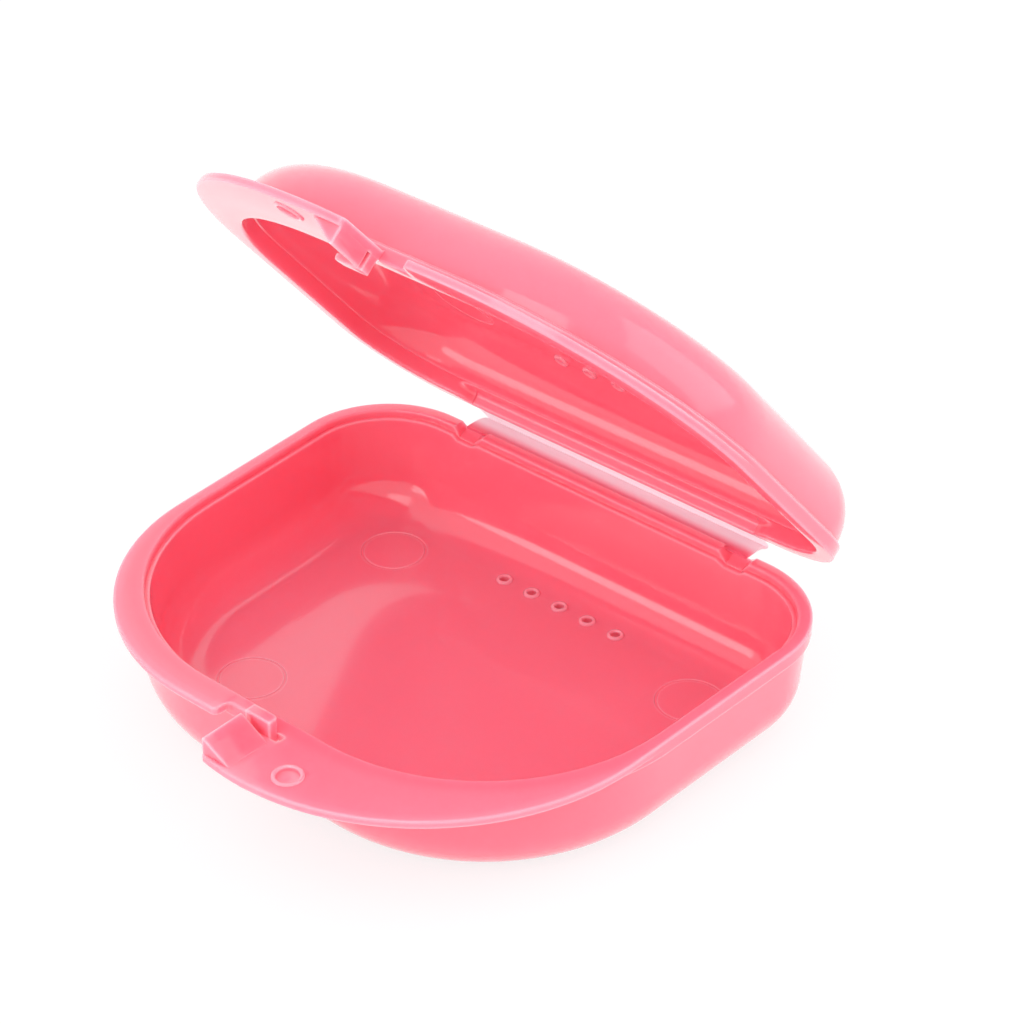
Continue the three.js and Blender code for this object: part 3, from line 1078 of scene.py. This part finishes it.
    def tab_face(self) -> Matrix:
        """The place of the dimple on the wide tab."""
        row = -(self.ledge + self.wide_reach - self.ring_inset)
        where = Vector((self.half.value * self.ring_across, row, self.plane))
        return Matrix.Translation(where * MILLIMETRE)

    def dimple(self) -> Object:
        """The cutter for the shallow dimple in the wide tab."""
        radius = self.ring_inner
        foot = -self.dimple_depth
        section = [(0, foot), (radius - 0.35, foot), (radius - 0.1, foot + 0.12)]
        section += [(radius, foot + 0.35), (radius, 1), (0, 1)]
        made = turned(f"{self.name}_dimple", section, self.ring_steps, first=0.5)
        return self.placed(made, self.tab_face())

    def ring_on_tab(self) -> Object:
        """The raised ring round the dimple in the wide tab."""
        inner = self.ring_inner - 0.04
        section = bead_section(inner, self.ring_outer, self.ring_height, 0.2, 10)
        made = turned(f"{self.name}_ring", section, self.ring_steps)
        return self.placed(made, self.tab_face())

    def mark(self, place: Pair) -> Object:
        """The cutter for one of the round marks in the inner flat.

        Args:
            place: the middle of the mark across and along the case.

        Returns:
            The cutter.
        """
        outer = self.mark_radius
        inner = outer - self.mark_width
        slope = self.mark_depth / 2
        over = 0.4
        section = [(inner + slope, -self.mark_depth), (outer - slope, -self.mark_depth)]
        section += [(outer + over / 2, over), (inner - over / 2, over)]
        where = Vector((*place, self.plane + self.into * (self.depth - self.floor)))
        made = turned(f"{self.name}_mark", section, self.mark_steps)
        return self.placed(made, Matrix.Translation(where * MILLIMETRE))

    def vent_faces(self) -> list[Matrix]:
        """The place and the lean of each vent, on the inner face beside the hinge."""
        row = self.cavity.rear - self.vent_inset
        inner_depth = self.depth - self.floor
        flat = self.bend_path(self.inner_bend, self.throat, inner_depth)[0][0]
        past = max(0.0, row - (self.cavity.rear + flat))
        rise = self.inner_bend - math.sqrt(self.inner_bend**2 - past**2)
        lean = math.asin(past / self.inner_bend)
        height = self.plane + self.into * (inner_depth - rise)
        faces = []
        for index in range(self.vent_count):
            across = (index - (self.vent_count - 1) / 2) * self.vent_pitch
            shift = Matrix.Translation(Vector((across, row, height)) * MILLIMETRE)
            faces.append(shift @ Matrix.Rotation(-self.into * lean, 4, "X"))
        return faces

    def add_vents(self, target: Object) -> None:
        """Joins a collar to the moulding at each vent and cuts the hole through both.

        Args:
            target: the moulding.
        """
        inner = self.vent_hole - 0.06
        section = bead_section(inner, self.collar_radius, self.collar_height, 0.3, 8)
        through = [(0, -4), (self.vent_hole, -4), (self.vent_hole, 3), (0, 3)]
        for face in self.vent_faces():
            collar = turned(f"{self.name}_collar", section, self.vent_steps)
            combine(target, self.placed(collar, face), Change.JOIN)
            hole = turned(f"{self.name}_hole", through, self.vent_steps, first=0.5)
            combine(target, self.placed(hole, face), Change.CUT)

    def build(self) -> Object:
        """Builds the half in its closed position.

        Returns:
            The moulding as one object.
        """
        made = lofted(self.name, self.rings())
        for piece in (self.finger(), self.ramp(), self.ring_on_tab()):
            combine(made, piece, Change.JOIN)
        combine(made, self.dimple(), Change.CUT)
        for place in self.marks:
            combine(made, self.mark(place), Change.CUT)
        self.add_vents(made)
        self.add_details(made)
        return made

    def add_details(self, target: Object) -> None:
        """Adds what only this half has.

        Args:
            target: the moulding.
        """
        raise NotImplementedError

    def dress(self, target: Object) -> None:
        """Gives the moulding its finish and ties it to the frame.

        Args:
            target: the moulding.
        """
        smooth(target, self.sharp_angle)
        PINK.dress(target)
        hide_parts(*self.nodes)
        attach(target, self.body)


@dataclass
class Tray(Moulding):
    """The deep half, with two slanted notches in its rear edge.

    A notch's slopes start and end at the four places of notch, from the middle outwards.
    """

    half: Half = Half.TRAY
    name: str = "tray_moulding"
    body: str = "tray"
    leaf: str = "base_hinge_leaf"
    plane: float = 16.5
    depth: float = 16.5
    wall: float = 2.0
    floor: float = 1.3
    lean: float = 0.85
    outer_bend: float = 8.2
    inner_bend: float = 6.5
    throat: float = -0.65
    band_height: float = 2.2
    vent_inset: float = 7.6
    marks: tuple[Pair, ...] = (
        (-26.6, 19.7),
        (26.6, 19.7),
        (-20.6, -14.8),
        (20.6, -14.8),
    )
    notch: tuple[float, float, float, float] = (21.0, 22.4, 25.1, 26.1)
    notch_depth: float = 1.5
    notch_edge: float = 0.12
    outer_drop: float = 0.4
    rebate: Step = Step(0.65, 1.1, 1.1)
    relief_length: float = 1.3
    relief_inset: float = 0.35

    def drop_at(self, across: float) -> float:
        """How far the rear edge is cut back at a place across the case."""
        depths = (0.0, self.notch_depth, self.notch_depth, 0.0)
        return float(np.interp(abs(across), self.notch, depths))

    def step_at(self, across: float, is_rear: bool) -> Step:
        """The rebate, which runs all round the tray's rim."""
        return self.rebate

    def rear_places(self) -> list[float]:
        """The places across the case where the form of the rear edge changes."""
        right = [(self.notch[1] + self.notch[2]) / 2]
        for place in self.notch:
            right += [place - self.notch_edge, place, place + self.notch_edge]
        return right + [-place for place in right]

    def add_details(self, target: Object) -> None:
        """Cuts the relief hole beside the end of the latch finger."""
        start = self.flange_end - self.clearance
        rear = -(self.ledge + self.clearance + self.relief_inset)
        front = -(self.ledge + self.clearance + self.finger_thickness)
        end = start + self.relief_length
        outline = [(start, front), (end, front), (end, rear), (start, rear)]
        above = 0.8
        length = self.flange_thickness + 4.0
        basis = self.plan_basis(above - length)
        hole = prism(f"{self.name}_relief", outline, length, basis, 0.0)
        combine(target, hole, Change.CUT)


@dataclass
class Lid(Moulding):
    """The domed half, whose rim is hollow along the hinge.

    Within end_run of its ends the hollow's step shrinks to end_share, and then it runs out.
    """

    half: Half = Half.LID
    name: str = "lid_moulding"
    body: str = "lid"
    leaf: str = "lid_hinge_leaf"
    plane: float = 16.6
    depth: float = 10.8
    wall: float = 2.1
    floor: float = 1.3
    lean: float = 0.75
    outer_bend: float = 8.5
    inner_bend: float = 7.0
    throat: float = -0.6
    band_height: float = 2.0
    vent_inset: float = 6.9
    marks: tuple[Pair, ...] = ((-24.1, 18.7), (24.1, 18.7))
    hollow_half_width: float = 24.8
    hollow_run: float = 3.0
    hollow: Step = Step(1.7, 1.75, 2.2)
    solid: Step = Step(0.0, 1.5, 2.2)
    end_share: float = 0.85
    end_run: float = 0.08
    foot_edge: float = 0.6
    bead_height: float = 0.85
    bead_bite: float = 0.15

    def drop_at(self, across: float) -> float:
        """The lid's rear edge isn't cut back."""
        return 0.0

    def step_at(self, across: float, is_rear: bool) -> Step:
        """The hollow along the hinge; elsewhere the wall runs straight to the edge."""
        past = abs(across) - self.hollow_half_width
        if not is_rear or past >= self.hollow_run:
            return self.solid
        if past <= 0:
            return self.hollow
        share = self.end_share * (1 - past / self.hollow_run) ** 1.5
        near = self.solid.near + (self.hollow.near - self.solid.near) * share
        return Step(self.hollow.width * share, near, self.hollow.deep)

    def rear_places(self) -> list[float]:
        """The places across the case where the form of the rear edge changes."""
        edge = self.hollow_half_width
        right = [edge - 0.3, edge, edge + self.end_run]
        right += [edge + self.hollow_run * step / 6 for step in range(1, 7)]
        return right + [-place for place in right]

    def add_details(self, target: Object) -> None:
        """Joins the snap bead to the end of the latch finger."""
        end = self.flange_end - self.clearance
        tip = self.finger_height
        reach = self.clearance + self.bead_bite
        outline = [
            (end - self.clearance, tip),
            (end + reach / 2, tip),
            (end + reach, tip - self.bead_height / 2),
            (end + reach, tip - self.bead_height),
            (end - self.clearance, tip - self.bead_height),
        ]
        rear = -(self.ledge + self.root_radius)
        length = self.clearance + self.finger_thickness - self.root_radius - 0.1
        bead = prism(f"{self.name}_bead", outline, length, self.cross_basis(rear), 0.08)
        combine(target, bead, Change.JOIN)

    def build(self) -> Object:
        """Builds the lid and turns it to its rest position about the hinge joint.

        Returns:
            The moulding as one object.
        """
        made = super().build()
        joint = next(entry for entry in frame["joints"] if entry["name"] == "lid_hinge")
        pivot = Vector(joint["pos_m"])
        opening = math.radians(-joint["range_deg"][0])
        turn = Matrix.Rotation(opening, 4, Vector(joint["axis"]))
        made.data.transform(Matrix.Translation(pivot) @ turn @ Matrix.Translation(-pivot))
        return made


@dataclass
class FoldingStrip:
    """The thin strip between the rear edges, which bends round the fold line."""

    half_width: float = 24.8
    thickness: float = 0.45
    fold_thickness: float = 0.36
    tray_end: Pair = (33.4, 16.24)
    tray_turn: Pair = (36.6, 16.2)
    fold: Pair = (38.6, 15.1)
    lid_turn: Pair = (36.6, 17.75)
    lid_end: Pair = (35.24, 19.32)
    root_softness: float = 1.5
    fold_softness: float = 1.3
    end_edge: float = 0.12
    end_share: float = 0.6
    steps: int = 40
    sharp_angle: float = 40.0

    def curve(self) -> tuple[np.ndarray, np.ndarray]:
        """The middle line of the strip's section and its normals.

        Returns:
            Places along the line as rows of y and z, and the unit normals there.
        """
        path = [
            (*self.tray_end, 0.0),
            (*self.tray_turn, self.root_softness),
            (*self.fold, self.fold_softness),
            (*self.lid_turn, self.root_softness),
            (*self.lid_end, 0.0),
        ]
        rough = np.array(soft_corners(path, 12))
        lengths = np.linalg.norm(np.diff(rough, axis=0), axis=1)
        along = np.concatenate(([0.0], np.cumsum(lengths)))
        even = np.linspace(0, along[-1], self.steps + 1)
        line = np.column_stack([np.interp(even, along, rough[:, axis]) for axis in (0, 1)])
        run = np.gradient(line, axis=0)
        run /= np.linalg.norm(run, axis=1)[:, None]
        return line, np.stack((-run[:, 1], run[:, 0]), axis=1)

    def build(self) -> Object:
        """Builds the strip as one closed, curved sheet.

        Returns:
            The strip as an object.
        """
        line, normals = self.curve()
        along = np.linspace(-1, 1, self.steps + 1)[:, None]
        thin = self.thickness + (self.fold_thickness - self.thickness) * np.exp(-(along * 3) ** 2)
        outer = line - normals * thin / 2
        inner = line + normals * thin / 2
        loop = np.concatenate((inner, outer[::-1]))
        middle = np.concatenate((line, line[::-1]))
        rings = []
        for across, share in (
            (-self.half_width, self.end_share),
            (-self.half_width + self.end_edge, 1.0),
            (self.half_width - self.end_edge, 1.0),
            (self.half_width, self.end_share),
        ):
            ring = middle + (loop - middle) * share
            rings.append(np.column_stack((np.full(len(ring), across), ring)))
        return lofted("folding_strip", np.array(rings))

    def dress(self, target: Object) -> None:
        """Gives the strip its finish and hides the two hinge leaves that it stands for.

        Args:
            target: the strip.
        """
        smooth(target, self.sharp_angle)
        PALE.dress(target)
        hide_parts("base_hinge_leaf", "lid_hinge_leaf")
        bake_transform(target)


@dataclass(frozen=True)
class SoftBox:
    """A soft box that faces the case.

    Attributes:
        name: the lamp's name.
        azimuth: its place round the case, in degrees to the right of the front.
        elevation: its height above the horizon, in degrees.
        size: its width and height, in millimetres.
        level: its brightness, where 1 is white.
    """

    name: str
    azimuth: float
    elevation: float
    size: Pair
    level: float


def way_to(azimuth: float, elevation: float) -> Vector:
    """The direction from the case to a place round it.

    Args:
        azimuth: degrees to the right of the front.
        elevation: degrees above the horizon.

    Returns:
        The unit vector.
    """
    turn = math.radians(azimuth)
    rise = math.radians(elevation)
    across = math.cos(rise)
    return Vector((math.sin(turn) * across, -math.cos(turn) * across, math.sin(rise)))


def set_up(name: str, data: bpy.types.ID, location: Vector, aim: Vector) -> Object:
    """Places a camera or a lamp.

    Args:
        name: the object's name.
        data: its camera or light.
        location: where it stands, in metres.
        aim: the direction it looks in.

    Returns:
        The linked object.
    """
    made = bpy.data.objects.new(name, data)
    bpy.context.scene.collection.objects.link(made)
    made.location = location
    made.rotation_mode = "QUATERNION"
    made.rotation_quaternion = aim.to_track_quat("-Z", "Y")
    return made


@dataclass
class Studio:
    """A pale floor, plain soft light and the camera at the photograph's place.

    Attributes:
        azimuth: the camera's place round the case, in degrees to the right of the front.
        elevation: the camera's height above the horizon, in degrees.
        distance: from the camera to the point it looks at, in millimetres.
        target: that point, in millimetres.
        lens: focal length for a sensor 36 mm wide.
        floor_size: side of the floor, in millimetres.
        horizon_light: strength of the surrounding light at the horizon.
        top_light: strength of the surrounding light straight above.
        lamp_distance: from the origin to the soft boxes, in millimetres.
        lamps: the soft boxes.
    """

    azimuth: float = 40.92
    elevation: float = 33.94
    distance: float = 406.6
    target: tuple[float, float, float] = (-5.6, 21.0, 16.5)
    lens: float = 105.5
    floor_size: float = 4000.0
    horizon_light: float = 0.95
    top_light: float = 1.12
    lamp_distance: float = 900.0
    lamps: tuple[SoftBox, ...] = (
        SoftBox("front_left_box", -20.0, 21.0, (640.0, 240.0), 2.4),
        SoftBox("front_high_box", 15.0, 60.0, (500.0, 500.0), 1.7),
        SoftBox("right_box", 130.0, 30.0, (800.0, 800.0), 1.0),
    )

    def camera(self) -> None:
        """Places the camera and makes it the scene's."""
        data = bpy.data.cameras.new("photo_camera")
        data.lens = self.lens
        data.sensor_width = 36.0
        data.clip_start = 0.01
        data.clip_end = 20.0
        back = way_to(self.azimuth, self.elevation)
        location = (Vector(self.target) + back * self.distance) * MILLIMETRE
        bpy.context.scene.camera = set_up("photo_camera", data, location, -back)

    def floor(self) -> None:
        """Lays the white floor, which keeps the case's soft shadow.

        It lights the case like a plain white floor. What is seen of it is partly a glow, so that
        it stays pale.
        """
        reach = self.floor_size / 2
        corners = np.array(
            [(-reach, -reach, 0), (reach, -reach, 0), (reach, reach, 0), (-reach, reach, 0)]
        )
        made = mesh_object("studio_floor", corners, [(0, 1, 2, 3)])
        material = bpy.data.materials.new("studio_white")
        material.use_nodes = True
        tree = material.node_tree
        lit = tree.nodes["Principled BSDF"]
        feed(tree, lit, {"Base Color": (0.9, 0.9, 0.9, 1.0), "Roughness": 0.9})
        shade = add_node(tree, "BsdfDiffuse", "BSDF", {"Color": (0.2, 0.2, 0.2, 1.0)})
        glow = add_node(tree, "Emission", "Emission", {"Strength": 0.8})
        seen = add_node(tree, "AddShader", "Shader", {0: shade, 1: glow})
        kinds = ("Camera", "Glossy", "Transmission")
        surface = by_ray(tree, kinds, lit.outputs["BSDF"], seen)
        feed(tree, tree.nodes["Material Output"], {"Surface": surface})
        made.data.materials.append(material)

    def world(self) -> None:
        """Surrounds the case with plain white light."""
        world = bpy.data.worlds.new("studio_world")
        world.use_nodes = True
        bpy.context.scene.world = world
        tree = world.node_tree
        place = add_node(tree, "TexCoord", "Generated", {})
        height = add_node(tree, "SeparateXYZ", "Z", {"Vector": place})
        level = ranged(tree, height, result=(self.horizon_light, self.top_light))
        light = tree.nodes["Background"]
        feed(tree, light, {"Color": WHITE, "Strength": level})
        seen = add_node(tree, "Background", "Background", {"Color": WHITE, "Strength": 1.0})
        surface = by_ray(tree, ("Camera",), light.outputs["Background"], seen)
        feed(tree, tree.nodes["World Output"], {"Surface": surface})

    def hang(self, lamp: SoftBox) -> None:
        """Hangs one soft box.

        Args:
            lamp: the soft box.
        """
        data = bpy.data.lights.new(lamp.name, "AREA")
        data.shape = "RECTANGLE"
        data.size = lamp.size[0] * MILLIMETRE
        data.size_y = lamp.size[1] * MILLIMETRE
        data.energy = lamp.level * math.pi * data.size * data.size_y
        location = way_to(lamp.azimuth, lamp.elevation) * self.lamp_distance * MILLIMETRE
        set_up(lamp.name, data, location, Vector(self.target) * MILLIMETRE - location)

    def build(self) -> None:
        """Sets up the camera, the floor and the light."""
        self.camera()
        self.floor()
        self.world()
        for lamp in self.lamps:
            self.hang(lamp)
        bpy.context.scene.view_settings.view_transform = "Standard"


def main() -> None:
    """Builds the case and its studio."""
    logging.basicConfig(level=logging.INFO, format="%(name)s: %(message)s")
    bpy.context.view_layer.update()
    Studio().build()
    for part in (Tray(), Lid(), FoldingStrip()):
        made = part.build()
        part.dress(made)
        LOG.info("%s: %d faces", made.name, len(made.data.polygons))


if __name__ == "__main__":
    main()
